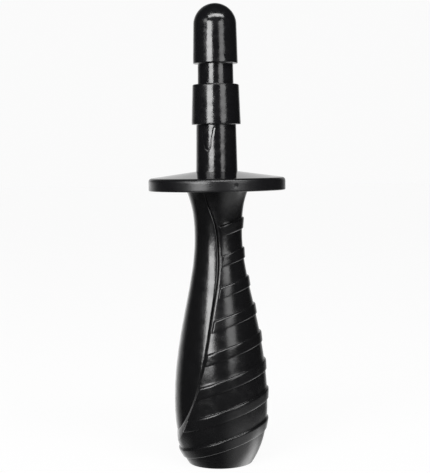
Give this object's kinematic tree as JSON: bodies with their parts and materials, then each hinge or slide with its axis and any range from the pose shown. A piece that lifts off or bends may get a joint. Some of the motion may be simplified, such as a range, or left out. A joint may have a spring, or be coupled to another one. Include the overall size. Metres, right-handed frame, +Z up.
{
  "type": "push-fit plug handle",
  "caption": "Banded hand grip with a round guard and a stepped, dome-ended push-fit plug that carries interchangeable soft attachments.",
  "frame": {"origin": "centre of the face that the grip stands on", "axes": "+Z up the grip to the plug's tip; -X is the side of the smooth leaf panel; +X is the side where the slanting bands are high"},
  "size_m": [0.0786, 0.0786, 0.2644],
  "materials": {
    "plug_plastic": "gloss black moulded plastic",
    "guard_plastic": "gloss black moulded plastic",
    "core_plastic": "gloss black moulded plastic",
    "sleeve_plastic": "gloss black overmould",
    "cap_plastic": "fine satin black moulded plastic",
    "insert_brass": "turned brass",
    "zinc_steel": "bright zinc plate"
  },
  "bodies": {
    "root": {"plug": "plug_plastic", "plug_insert": "insert_brass", "guard_disc": "guard_plastic", "grip_core": "core_plastic", "grip_sleeve": "sleeve_plastic", "base_cap": "cap_plastic", "flat_washer": "zinc_steel", "lock_washer": "zinc_steel", "tie_bolt": "zinc_steel"}
  },
  "joints": []
}
